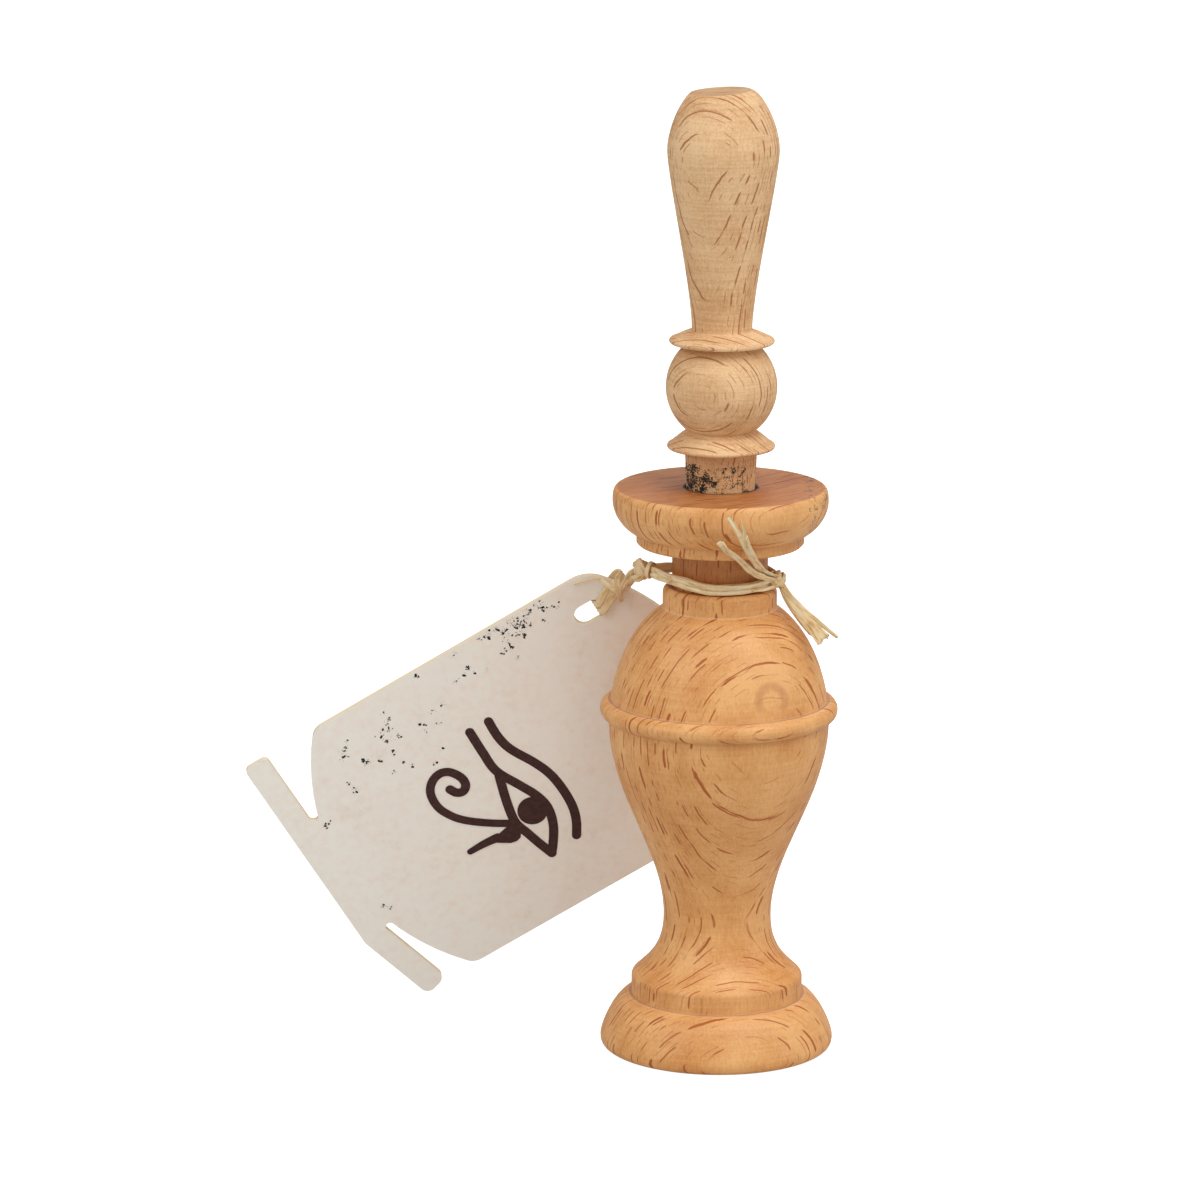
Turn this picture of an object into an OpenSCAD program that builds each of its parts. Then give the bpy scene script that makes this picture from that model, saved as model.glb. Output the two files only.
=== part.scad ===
// Turned beech kohl container: a baluster vessel bored from the top, a lift-out stopper
// with its applicator stick, a raffia tie round the neck and a card tag that hangs from it.
// Millimetres, +Z up. The origin is at the centre of the underside of the foot.

/* [Vessel] */
// Diameter of the foot
foot_d = 31.4; // [28:0.1:36]
// Height of the rounded foot
foot_h = 7.1; // [6:0.1:9]
// Diameter of the band on top of the foot
band_d = 23.1; // [20:0.1:26]
// Height of the band
band_h = 2.3; // [1.5:0.1:4]
// Height of the hollow curve from the band up to the waist
cove_h = 8.6; // [6:0.1:12]
// Diameter of the waist
waist_d = 14.5; // [13.4:0.1:18]
// Height from the waist to the middle of the ring
belly_h = 28.7; // [22:0.1:36]
// Diameter of the belly where the ring sits
belly_d = 29.6; // [24:0.1:34]
// How far the ring stands out from the belly
ring_out = 1.15; // [0.6:0.05:1.3]
// Height of the ring's rounded face
ring_h = 2.7; // [2.6:0.1:3.4]
// Height of the dome above the ring's middle
dome_h = 14; // [11:0.1:18]
// Diameter of the collar on top of the dome
collar_d = 15.3; // [14.6:0.1:18]
// Height of the collar
collar_h = 2.9; // [2:0.1:4]
// Diameter of the neck
neck_d = 12.8; // [12:0.1:13.6]
// Height of the neck
neck_h = 5.7; // [5:0.1:8]
// Diameter of the step under the head
step_d = 22.4; // [20:0.1:24]
// Height of the step under the head
step_h = 1.6; // [1:0.1:2.5]
// Diameter of the head
head_d = 28.8; // [26:0.1:32]
// Height of the head above its step
head_h = 6.1; // [5:0.1:8]
// Diameter of the flat top of the head
rim_d = 27.4; // [24:0.1:28]
// Depth of the powder bore
bore_depth = 65; // [60:0.5:68]

/* [Stopper] */
// How far the stopper stands out of its seat
stopper_lift = 5.3; // [0:0.1:8]
// Diameter of the plug under the lower disc
plug_d = 9.6; // [8:0.1:10.4]
// Diameter of the plug at its lower end
plug_tip_d = 8.8; // [7:0.1:9.4]
// Length of the plug
plug_len = 12; // [9:0.5:16]
// Play between the plug and the bore, on the radius
plug_fit = 0.04; // [0.02:0.01:0.1]
// Diameter of the lower disc
lower_disc_d = 14.4; // [13:0.1:17]
// Height of the lower disc, up to the ball
lower_disc_h = 2.4; // [1.8:0.1:3.4]
// Diameter of the ball
ball_d = 14.8; // [13:0.1:17]
// Diameter of the necks above and below the ball
ball_neck_d = 9; // [8:0.1:11]
// Diameter of the upper disc
upper_disc_d = 14; // [12:0.1:17]
// Height of the upper disc, up to the handle
upper_disc_h = 1.8; // [1.4:0.1:3]
// Diameter of the handle at its foot
handle_foot_d = 8; // [7:0.1:10]
// Largest diameter of the handle
handle_d = 14.8; // [12:0.1:18]
// Height of the handle's widest place above its foot
handle_wide_h = 23.9; // [18:0.1:28]
// Height of the rounded end above the widest place
handle_end_h = 8; // [5:0.1:10]
// Diameter of the flat on top of the handle
handle_top_d = 7.2; // [6:0.1:11]
// Slant of the cut across the top of the handle, in degrees
top_slant = 3.5; // [0:0.5:8]

/* [Applicator] */
// Diameter of the applicator stick
stick_d = 3.2; // [2.4:0.1:4]
// Length of the stick below the plug
stick_reach = 50.5; // [40:0.5:52]
// Depth of the stick's socket in the plug
stick_socket = 6; // [4:0.5:8]

/* [Raffia tie] */
// Width of the raffia round the neck
raffia_w = 1.5; // [1.2:0.05:1.6]
// Thickness of the raffia round the neck
raffia_t = 0.8; // [0.6:0.05:0.9]
// Width of a tail or a leg of the loop
tail_w = 1.1; // [0.8:0.05:1.2]
// Thickness of a tail or a leg of the loop
tail_t = 0.6; // [0.4:0.05:0.7]
// Thickness of the knot beside the neck
neck_knot_d = 2.5; // [2.2:0.05:2.7]
// Thickness of the knot that gathers the lead
lead_knot_d = 3; // [2.6:0.05:3.4]
// Thickness of the hitch on the tag's edge
hitch_d = 1.9; // [1.6:0.05:2.1]
// Play round the lead's ball end in the hitch
lead_play = 0.05; // [0.03:0.01:0.1]

/* [Card tag] */
// Width of the tag
tag_w = 42.3; // [36:0.1:44]
// Length of the tag from its bar to the top of its arch
tag_len = 62.7; // [61:0.1:66]
// Thickness of the card
tag_t = 1; // [0.6:0.05:1.2]
// Radius of the arched ends
tag_arch_r = 32; // [26:0.5:60]
// Radius of the upper corners
tag_top_r = 5; // [3:0.1:8]
// Radius of the lower corners
tag_low_r = 2.4; // [1.5:0.1:6]
// Height of the bar across the lower end
bar_h = 3.6; // [3:0.1:5]
// Radius of the corners at the bar's free end
bar_end_r = 0.8; // [0.4:0.1:1.7]
// Radius of the worn corners at the end that stands on the table
arm_end_r = 1.3; // [0.4:0.1:1.7]
// Length of the arm that stands on the table, from the notch
arm_len = 11.7; // [8:0.1:13]
// How far that arm is pushed up, in degrees
arm_bend = 15.5; // [0:0.5:16]
// How deep the arched end dips into the bar
arch_dip = 0.3; // [0.2:0.1:1.2]
// Width of the card between the two notches
throat_w = 20.2; // [14:0.1:26]
// Width of the slot
slot_w = 2.8; // [2.6:0.1:3.4]
// Length of the slot
slot_len = 4.4; // [4:0.1:5.4]
// Distance from the slot's middle to the tag's nearer side
slot_side = 5.3; // [5:0.1:8]
// Distance from the slot's middle to the top of the arch
slot_drop = 10.5; // [9.6:0.1:12]
// How far the tag leans back against the vessel, in degrees
tag_lean = 10; // [6:0.5:12]
// How far the tag is turned about the upright, its nearer side to the front, in degrees
tag_turn = 4; // [0:0.5:8]
// How far the tag's long axis rises from level, in degrees
tag_rise = 31.8; // [28:0.1:35]
// Gap between the ring and the tag
tag_gap = 0.3; // [0.2:0.05:0.6]
// Gap between the tag's lowest corner and the table
floor_gap = 0.2; // [0.1:0.05:0.5]

/* [Hidden] */
vessel_c = "#d9a066";
stopper_c = "#dcb184";
raffia_c = "#e3c98f";
card_c = "#e6dccb";

// Heights of the vessel's parts, stacked from the foot
band_z = foot_h + band_h;
waist_z = band_z + cove_h;
ring_z = waist_z + belly_h;
collar_z = ring_z + dome_h;
neck_z = collar_z + collar_h;
step_z = neck_z + neck_h;
head_z = step_z + step_h;
vessel_h = head_z + head_h;
ring_r = ring_h / 2;
ring_mid_r = belly_d / 2 + ring_out - ring_r;
bore_r = plug_d / 2 + plug_fit;
bore_floor_z = vessel_h - bore_depth;

// Heights of the stopper's parts above the underside of its lower disc
seat_z = vessel_h + stopper_lift;
ball_r = ball_d / 2;
ball_half = sqrt(ball_r * ball_r - ball_neck_d * ball_neck_d / 4);
ball_mid = lower_disc_h + ball_half;
upper_disc_z = ball_mid + ball_half;
handle_z = upper_disc_z + upper_disc_h;
handle_top = handle_z + handle_wide_h + handle_end_h;
disc_edge = 0.64;
curve_steps = 16;

// Routes of the raffia, as points in the model's own frame
neck_route = [[-9.4, 2.3, 64.9], [-7, -2.3, 65], [-5, -5, 65], [-1.8, -6.8, 64.5],
    [1.8, -6.8, 64.5], [5, -5, 64.6], [6.9, -2.4, 64.9], [7.1, 1, 64.9], [5.4, 4.7, 64.7],
    [2, 6.9, 64.6], [-1.8, 7, 64.6], [-5.4, 5.8, 64.7], [-9.4, 3.8, 64.9]];
upper_long_route = [[7.2, -3.7, 65.7], [5.8, -7, 67.2], [4.3, -11.4, 69.4], [3.5, -13.3, 71.2],
    [2.6, -14.8, 73.1], [1.3, -15.8, 76.3]];
upper_short_route = [[7.2, -4, 65.1], [5.5, -6.7, 66.2], [3.9, -9, 67.6], [1.9, -12.3, 69.9],
    [0.4, -14.4, 71.6], [-0.6, -15.5, 73.2]];
lower_front_route = [[8.4, -3.1, 64.5], [10.3, -4.4, 61.4], [12.9, -5.4, 59.1], [15.5, -6.2, 57.5]];
lower_back_route = [[8.3, -2.2, 64.4], [9.9, -1.8, 61.6], [11.7, -1.6, 58.9], [13.6, -1.5, 56.2]];
neck_knot_at = [7.6, -2.7, 65.1];
lead_knot_at = [-10.3, 3, 64.9];
lead_ball_r = 0.62;

// Place of the tag: its front leans on the ring, its lowest corner stays off the table
tag_slot_x = -17.4;
tag_mid_x = tag_w / 2 - slot_side;
bar_low_y = slot_drop - tag_len;
bar_mid_y = bar_low_y + bar_h / 2;
arm_drop = 90 - tag_rise - arm_bend;
foot_drop = cos(tag_rise) * (tag_mid_x + throat_w / 2) - sin(tag_rise) * bar_mid_y
    + sin(arm_drop) * (arm_len - arm_end_r) + cos(arm_drop) * (bar_h / 2 - arm_end_r) + arm_end_r;
tag_slot_z = floor_gap + cos(tag_lean) * foot_drop;
tag_slot_y = (ring_mid_r * cos(tag_lean) + (ring_z - tag_slot_z) * sin(tag_lean) + ring_r + tag_gap
    + tag_slot_x * sin(tag_turn) * cos(tag_lean)) / (cos(tag_turn) * cos(tag_lean));
tag_place = [tag_slot_x, tag_slot_y, tag_slot_z];
tag_level = [cos(tag_turn), sin(tag_turn), 0];
tag_up = [sin(tag_turn) * sin(tag_lean), -cos(tag_turn) * sin(tag_lean), cos(tag_lean)];
tag_across = sin(tag_rise) * tag_level - cos(tag_rise) * tag_up;
tag_along = cos(tag_rise) * tag_level + sin(tag_rise) * tag_up;
tag_out = cross(tag_across, tag_along);

// Routes on the tag, from the middle of the slot on the card's front face
leg_gap = 0.12;
leg_step = (tail_w + leg_gap) / 2;
leg_off = tail_t / 2 + 0.15;
hitch_at = [-1.7, 5.1, hitch_d / 2 + 0.1];
edge_y = 6.6;
ball_at = hitch_at + [0.6, 0.9, 0.65];
lead_pivot = tag_place + ball_at.x * tag_across + ball_at.y * tag_along + ball_at.z * tag_out;
lead_route = [[-10.9, 4, 64.4], [-11.3, 6.4, 63.4], [-11.9, 8.8, 62], lead_pivot];

function bezier(a, b, c, d, n = curve_steps) =
    [for (i = [0 : n]) let (t = i / n, s = 1 - t)
        s * s * s * a + 3 * s * s * t * b + 3 * s * t * t * c + t * t * t * d];

function arc(mid, r, from, to, n = 8) =
    [for (i = [0 : n]) let (a = from + (to - from) * i / n) mid + r * [cos(a), sin(a)]];

function unit(v) = v / norm(v);

// Point on a smooth curve through b and c, where a and d lie before and after them
function spline(a, b, c, d, t) =
    b + t * (c - a) / 2 + t * t * (a - 2.5 * b + 2 * c - d / 2)
    + t * t * t * (1.5 * b - 1.5 * c + (d - a) / 2);

function smooth(route, steps) =
    let (last = len(route) - 1)
    [for (i = [0 : last - 1]) for (k = [0 : steps - 1])
        spline(route[max(i - 1, 0)], route[i], route[i + 1], route[min(i + 2, last)], k / steps),
        route[last]];

// Ribbon of raffia swept along a route; its width lies along the direction called upright
module ribbon(route, w, t, upright = [0, 0, 1], steps = 2, sides = 8) {
    path = smooth(route, steps);
    last = len(path) - 1;
    points = [for (i = [0 : last])
        let (along = unit(path[min(i + 1, last)] - path[max(i - 1, 0)]),
            out = unit(cross(upright, along)), up = cross(along, out))
        for (k = [0 : sides - 1]) let (a = 360 * (k + 0.5) / sides)
            path[i] + out * t / 2 * cos(a) + up * w / 2 * sin(a)];
    rings = [for (i = [0 : last - 1]) for (k = [0 : sides - 1])
        let (a = i * sides + k, b = i * sides + (k + 1) % sides)
        for (f = [[a, a + sides, b + sides], [a, b + sides, b]]) f];
    near = [for (k = [0 : sides - 1]) k];
    far = [for (k = [sides - 1 : -1 : 0]) last * sides + k];
    polyhedron(points = points, faces = concat(rings, [near], [far]));
}

// Pulled-up knot: a core with two raised wraps that cross at its front and back
module knot(d, stretch, wraps, width = 0.45, rise = 0.2, around = 16, levels = 8) {
    function radius(u) = d / 2 * (1 - rise + rise * max([for (w = wraps)
        exp(-pow(u * unit(w) / width, 2))]));
    function spot(lat, lon) = let (u = [cos(lat) * cos(lon), cos(lat) * sin(lon), sin(lat)])
        let (p = u * radius(u)) [p.x * stretch.x, p.y * stretch.y, p.z * stretch.z];
    body = [for (i = [1 : levels - 1]) for (k = [0 : around - 1])
        spot(-90 + 180 * i / levels, 360 * k / around)];
    low = len(body);
    rings = [for (i = [0 : levels - 3]) for (k = [0 : around - 1])
        let (a = i * around + k, b = i * around + (k + 1) % around)
        for (f = [[a, b + around, b], [a, a + around, b + around]]) f];
    caps = [for (k = [0 : around - 1]) let (n = (k + 1) % around, top = (levels - 2) * around)
        for (f = [[low, k, n], [low + 1, top + n, top + k]]) f];
    polyhedron(points = concat(body, [spot(-90, 0), spot(90, 0)]), faces = concat(rings, caps));
}

module vessel() {
    outline = concat(
        [[0, 0]],
        bezier([foot_d / 2 - 0.4, 0], [foot_d / 2, 0.2], [foot_d / 2 + 0.1, 0.8], [foot_d / 2, 1.4], 6),
        bezier([foot_d / 2, 1.4], [foot_d / 2 - 0.3, 2.9], [band_d / 2 + 2, foot_h],
            [band_d / 2, foot_h]),
        arc([band_d / 2 - 0.8, band_z], 0.8, 0, 45, 4),
        bezier([band_d / 2 - 0.6, band_z + 0.9], [waist_d / 2 + 1.9, band_z + cove_h * 0.3],
            [waist_d / 2, band_z + cove_h * 0.5], [waist_d / 2, waist_z]),
        bezier([waist_d / 2, waist_z], [waist_d / 2, waist_z + belly_h * 0.32],
            [belly_d / 2, ring_z - belly_h * 0.42], [belly_d / 2, ring_z - ring_r], 24),
        arc([ring_mid_r, ring_z], ring_r, -80, 90, 12),
        bezier([belly_d / 2 - 0.25, ring_z + ring_r], [belly_d / 2 - 0.8, ring_z + dome_h * 0.38],
            [belly_d / 2 - 2.8, collar_z - dome_h * 0.2], [collar_d / 2, collar_z], 20),
        arc([collar_d / 2 - 0.9, neck_z - 0.9], 0.9, 0, 90, 6),
        [[neck_d / 2, neck_z], [neck_d / 2, step_z], [step_d / 2 - 0.3, step_z],
            [step_d / 2, step_z + 0.3], [step_d / 2, head_z], [step_d / 2 + 0.4, head_z]],
        bezier([step_d / 2 + 0.4, head_z], [head_d / 2 - 1, head_z + 1],
            [head_d / 2, head_z + head_h * 0.45], [head_d / 2, head_z + head_h * 0.72], 12),
        bezier([head_d / 2, head_z + head_h * 0.72], [head_d / 2, vessel_h - 0.6],
            [rim_d / 2 + 0.5, vessel_h], [rim_d / 2, vessel_h], 8),
        [[0, vessel_h]]);
    color(vessel_c) difference() {
        rotate_extrude($fn = 96) polygon(outline);
        translate([0, 0, bore_floor_z]) cylinder(h = bore_depth + 1, r = bore_r, $fn = 64);
    }
}

module stopper() {
    chamfer = 0.5;
    lower_edge = lower_disc_d / 2 - disc_edge / 2;
    upper_edge = upper_disc_d / 2 - disc_edge / 2;
    ball_side = acos(ball_neck_d / ball_d);
    outline = concat(
        [[0, -plug_len], [plug_tip_d / 2 - chamfer, -plug_len],
            [plug_tip_d / 2, -plug_len + chamfer], [plug_d / 2, 0]],
        arc([lower_edge, disc_edge / 2], disc_edge / 2, -90, 60, 6),
        bezier([lower_edge, disc_edge], [lower_edge - 0.75, disc_edge + 0.6],
            [ball_neck_d / 2 + 0.8, lower_disc_h - 0.35], [ball_neck_d / 2 + 0.1, lower_disc_h - 0.05], 5),
        arc([0, ball_mid], ball_r, -ball_side, ball_side, 28),
        arc([upper_edge, upper_disc_z + disc_edge / 2], disc_edge / 2, -90, 60, 6),
        bezier([upper_edge, upper_disc_z + disc_edge], [upper_edge - 0.95, upper_disc_z + disc_edge + 0.5],
            [handle_foot_d / 2 + 0.9, handle_z - 0.3], [handle_foot_d / 2 + 0.1, handle_z - 0.05], 5),
        bezier([handle_foot_d / 2, handle_z], [handle_foot_d / 2, handle_z + handle_wide_h * 0.22],
            [handle_d / 2, handle_z + handle_wide_h * 0.86], [handle_d / 2, handle_z + handle_wide_h], 20),
        bezier([handle_d / 2, handle_z + handle_wide_h],
            [handle_d / 2, handle_top - handle_end_h * 0.6],
            [handle_top_d / 2 + 1.6, handle_top - 0.3], [handle_top_d / 2, handle_top], 12),
        [[0, handle_top]]);
    color(stopper_c) translate([0, 0, seat_z]) difference() {
        rotate_extrude($fn = 96) polygon(outline);
        translate([0, 0, -plug_len - 1]) cylinder(h = stick_socket + 1, d = stick_d, $fn = 48);
        translate([handle_top_d / 2 + 0.2, 0, handle_top]) rotate([0, -top_slant, 0])
            translate([-handle_d, -handle_d, 0]) cube([2 * handle_d, 2 * handle_d, handle_end_h]);
    }
}

module applicator_stick() {
    low = seat_z - plug_len - stick_reach;
    tip = stick_d / 2;
    outline = concat([[0, low]],
        bezier([0.2, low], [tip * 0.8, low], [tip, low + 1.6], [tip, low + 3.2], 10),
        [[tip, low + stick_reach + stick_socket], [0, low + stick_reach + stick_socket]]);
    color(stopper_c) rotate_extrude($fn = 48) polygon(outline);
}

module neck_loop() {
    color(raffia_c) ribbon(neck_route, raffia_w, raffia_t);
}

module neck_knot() {
    color(raffia_c) translate(neck_knot_at)
        knot(neck_knot_d, [1, 0.95, 0.95], [[1, 0.2, 0.8], [0.9, -0.3, -0.9]]);
}

module upper_tail_long() {
    color(raffia_c) ribbon(upper_long_route, tail_w, tail_t, [1, 0.2, 0]);
}

module upper_tail_short() {
    color(raffia_c) ribbon(upper_short_route, tail_w, tail_t, [1, 0, 0.3]);
}

module lower_tail_front() {
    color(raffia_c) ribbon(lower_front_route, tail_w * 1.4, tail_t, [0.7, 0, 0.7]);
}

module lower_tail_back() {
    color(raffia_c) ribbon(lower_back_route, tail_w, tail_t, [0.8, 0.2, 0.5]);
}

module lead_knot() {
    color(raffia_c) translate(lead_knot_at)
        knot(lead_knot_d, [0.95, 1, 0.95], [[0.8, 0.2, -0.5], [0.8, 0, 0.7]]);
}

// The lead ends in a small ball, so the tag can swing where the raffia bends
module lead_strand() {
    color(raffia_c) union() {
        ribbon(lead_route, tail_w, tail_t, [1, 0, 0]);
        translate(lead_pivot) sphere(r = lead_ball_r, $fn = 24);
    }
}

// Stands its children on the card's front face, with the slot's middle as their origin
module on_tag() {
    translate(tag_place) rotate(tag_turn) rotate([90 + tag_lean, 0, 0]) rotate(tag_rise - 90)
        children();
}

module tag_hitch() {
    color(raffia_c) difference() {
        on_tag() translate(hitch_at)
            knot(hitch_d, [1.5, 1.15, 1], [[0.8, 0.6, 0], [0.5, -0.9, 0]]);
        translate(lead_pivot) sphere(r = lead_ball_r + lead_play, $fn = 24);
    }
}

// One leg of the loop: down the front of the card, through the slot, up the back and over
module loop_leg(side) {
    back = -tag_t - leg_off;
    route = [
        [hitch_at.x + side * leg_step, hitch_at.y - 0.6, hitch_d / 2],
        [hitch_at.x / 2 + side * leg_step, 3.4, leg_off + 0.2],
        [side * leg_step, slot_len / 2 - 0.5, leg_off],
        [side * leg_step, slot_len / 2 - 1.15, -tag_t / 2],
        [side * leg_step, slot_len / 2 - 0.5, back],
        [hitch_at.x / 2 + side * leg_step, 3.8, back - 0.1],
        [hitch_at.x + side * leg_step, edge_y - 0.9, back],
        [hitch_at.x + side * leg_step, edge_y, -tag_t / 2],
        [hitch_at.x + side * leg_step, hitch_at.y + 0.5, hitch_d / 2 - 0.25]];
    ribbon(route, tail_w, tail_t, [1, 0, 0]);
}

module tag_loop() {
    color(raffia_c) on_tag() {
        loop_leg(-1);
        loop_leg(1);
    }
}

// Half of the rounded body's outline: an arched end with corners of radius r, from right to left
function arched_end(r) =
    let (half = tag_w / 2,
        rise = sqrt(pow(tag_arch_r - r, 2) - pow(half - r, 2)),
        turn = atan2(rise, half - r))
    concat(arc([half - r, rise], r, 0, turn, 8),
        arc([0, 0], tag_arch_r, turn, 180 - turn, 20),
        arc([r - half, rise], r, 180 - turn, 180, 8));

// Strip of card with rounded corners that reaches out from its left end
module strip(length, r) {
    square_h = bar_h - 2 * r;
    translate([0, -bar_h / 2]) square([length - r, bar_h]);
    translate([length - r - 0.01, -square_h / 2]) square([r + 0.01, square_h]);
    for (side = [-1, 1]) translate([length - r, side * square_h / 2]) circle(r = r, $fn = 32);
}

// Card tag: a rounded body with a bar across its lower end, parted from it by two notches
module tag() {
    body_low_y = bar_low_y + bar_h - arch_dip;
    top = [for (p = arched_end(tag_top_r)) p + [0, slot_drop - tag_arch_r]];
    low = [for (p = arched_end(tag_low_r)) [-p.x, body_low_y + tag_arch_r - p.y]];
    notch_y = tag_arch_r - sqrt(pow(tag_arch_r, 2) - pow(throat_w / 2, 2)) - arch_dip;
    color(card_c) on_tag() translate([0, 0, -tag_t]) linear_extrude(tag_t) difference() {
        translate([tag_mid_x, 0]) union() {
            polygon(concat(top, low));
            translate([0, bar_mid_y]) rotate(180) strip(tag_w / 2, bar_end_r);
            translate([0, bar_low_y]) square([throat_w / 2, bar_h]);
            translate([throat_w / 2, bar_mid_y]) circle(d = bar_h, $fn = 48);
            translate([throat_w / 2, bar_mid_y]) rotate(arm_bend) strip(arm_len, arm_end_r);
            difference() {
                translate([-throat_w / 2, bar_mid_y]) square([throat_w, bar_h]);
                for (side = [-1, 1])
                    translate([side * throat_w / 2, bar_low_y + bar_h + notch_y / 2])
                        circle(d = notch_y, $fn = 24);
            }
        }
        square([slot_w, slot_len - slot_w], center = true);
        for (side = [-1, 1])
            translate([0, side * (slot_len - slot_w) / 2]) circle(d = slot_w, $fn = 32);
    }
}

vessel();
stopper();
applicator_stick();
neck_loop();
neck_knot();
upper_tail_long();
upper_tail_short();
lower_tail_front();
lower_tail_back();
lead_knot();
lead_strand();
tag_hitch();
tag_loop();
tag();
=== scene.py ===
import bpy
import math
import random
from mathutils import Matrix, Vector, noise


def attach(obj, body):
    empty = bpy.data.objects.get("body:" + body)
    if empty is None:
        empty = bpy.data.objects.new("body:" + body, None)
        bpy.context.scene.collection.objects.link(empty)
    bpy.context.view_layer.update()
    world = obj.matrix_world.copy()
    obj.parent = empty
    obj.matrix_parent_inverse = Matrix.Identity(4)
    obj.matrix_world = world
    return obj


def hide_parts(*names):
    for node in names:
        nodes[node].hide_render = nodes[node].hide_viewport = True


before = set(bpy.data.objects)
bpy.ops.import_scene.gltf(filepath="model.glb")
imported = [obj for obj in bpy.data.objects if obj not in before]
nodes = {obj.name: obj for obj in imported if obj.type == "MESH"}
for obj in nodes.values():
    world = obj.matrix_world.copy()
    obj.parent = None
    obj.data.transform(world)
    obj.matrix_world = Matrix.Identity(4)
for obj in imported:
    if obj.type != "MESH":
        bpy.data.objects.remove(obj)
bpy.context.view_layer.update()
mm = 0.001


def toLinear(hexColour):
    # sRGB hex to the linear colour that the shaders work in
    parts = [int(hexColour[i:i + 2], 16) / 255 for i in (1, 3, 5)]
    linear = [c / 12.92 if c <= 0.04045 else ((c + 0.055) / 1.055) ** 2.4 for c in parts]
    return (*linear, 1.0)


def connect(tree, node, links):
    # a source that is a node stands for its first output
    for key, source in links.items():
        output = source.outputs[0] if hasattr(source, "outputs") else source
        tree.links.new(output, node.inputs[key])


def addNode(tree, kind, settings=None, links=None):
    # "stops" are those of a colour ramp, and "range" is a map range's from and to
    node = tree.nodes.new("ShaderNode" + kind)
    for key, value in (settings or {}).items():
        if key == "stops":
            elements = node.color_ramp.elements
            while len(elements) < len(value):
                elements.new(0.5)
            for element, (at, colour) in zip(elements, value):
                element.position = at
                element.color = toLinear(colour)
        elif key == "range":
            for socket, number in zip(("From Min", "From Max", "To Min", "To Max"), value):
                node.inputs[socket].default_value = number
        elif isinstance(key, str) and hasattr(node, key):
            setattr(node, key, value)
        else:
            node.inputs[key].default_value = value
    connect(tree, node, links or {})
    return node


def newMaterial(name, look):
    material = bpy.data.materials.new(name)
    material.use_nodes = True
    tree = material.node_tree
    shader = tree.nodes["Principled BSDF"]
    for key in ("Roughness", "IOR", "Sheen Weight"):
        if key in look:
            shader.inputs[key].default_value = look[key]
    return material, tree, shader


def placeInMm(tree):
    # texture coordinates, and the point on the piece in mm
    coords = addNode(tree, "TexCoord")
    place = addNode(tree, "VectorMath", {"operation": "SCALE", "Scale": 1 / mm},
                    {0: coords.outputs["Object"]})
    return coords, place


# Long lens, 13 degrees down, from as far off as the photograph's perspective asks.
# Lengths are in mm, angles in degrees.
cameraLook = {"lens": 171.0, "sensor": 36.0, "near": 20.0, "place": (-16.0, -741.75, 234.07),
              "down": 13.1, "roll": 0.2}


def setCamera(look):
    data = bpy.data.cameras.new("camera")
    data.lens = look["lens"]
    data.sensor_width = look["sensor"]
    data.sensor_fit = "HORIZONTAL"
    data.clip_start = look["near"] * mm
    camera = bpy.data.objects.new("camera", data)
    bpy.context.scene.collection.objects.link(camera)
    aim = Matrix.Rotation(math.radians(90 - look["down"]), 4, "X")
    camera.matrix_world = (Matrix.Translation(Vector(look["place"]) * mm) @ aim
                           @ Matrix.Rotation(math.radians(look["roll"]), 4, "Z"))
    bpy.context.scene.camera = camera


setCamera(cameraLook)
print("camera set")


def smoothRoute(points, spacing):
    # even steps along a smooth curve through the points, in mm
    fineSteps = 24
    pts = [Vector(p) for p in points]
    fine = []
    for i in range(len(pts) - 1):
        a, b = pts[max(i - 1, 0)], pts[i]
        c, d = pts[i + 1], pts[min(i + 2, len(pts) - 1)]
        for k in range(fineSteps):
            t = k / fineSteps
            fine.append(b + t * (c - a) / 2 + t * t * (a - 2.5 * b + 2 * c - d / 2)
                        + t ** 3 * (1.5 * b - 1.5 * c + (d - a) / 2))
    fine.append(pts[-1])
    total = sum((q - p).length for p, q in zip(fine, fine[1:]))
    count = max(3, round(total / spacing))
    out, run, i = [fine[0]], 0.0, 0
    for k in range(1, count):
        goal = total * k / count
        while run + (fine[i + 1] - fine[i]).length < goal:
            run += (fine[i + 1] - fine[i]).length
            i += 1
        out.append(fine[i].lerp(fine[i + 1], (goal - run) / (fine[i + 1] - fine[i]).length))
    return out + [fine[-1]]


class PieceMesh:
    # gathers points in mm and faces, and becomes a piece that rides on a body
    def __init__(self):
        self.verts = []
        self.faces = []
        self.uvs = []

    def build(self, name, body, slot, material, stands=()):
        mesh = bpy.data.meshes.new(name)
        mesh.from_pydata([v * mm for v in self.verts], [], self.faces)
        if self.uvs:
            layer = mesh.uv_layers.new(name="strand")
            for loop in mesh.loops:
                layer.data[loop.index].uv = self.uvs[loop.vertex_index]
        mesh.validate()
        for polygon in mesh.polygons:
            polygon.use_smooth = bool(self.uvs)
        mesh.materials.append(material)
        piece = bpy.data.objects.new(name, mesh)
        bpy.context.scene.collection.objects.link(piece)
        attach(piece, body)
        if stands:
            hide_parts(*stands)
        return piece


# How a strip of raffia varies: shares of its own width and thickness, with step in mm.
# mapScale is what one mm counts for in the strand's texture map.
stripLook = {"step": 0.25, "turn": 0.16, "widthSway": 0.16, "depthSway": 0.22, "edge": 0.85,
             "crown": 0.6, "pleats": 1.3, "pleatDrift": 0.5, "creaseReach": 0.6,
             "creaseSway": 0.22, "creaseDepth": 0.34, "creaseWidth": 0.13, "deepest": 0.6,
             "grain": 0.05, "mapScale": 0.1}


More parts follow.
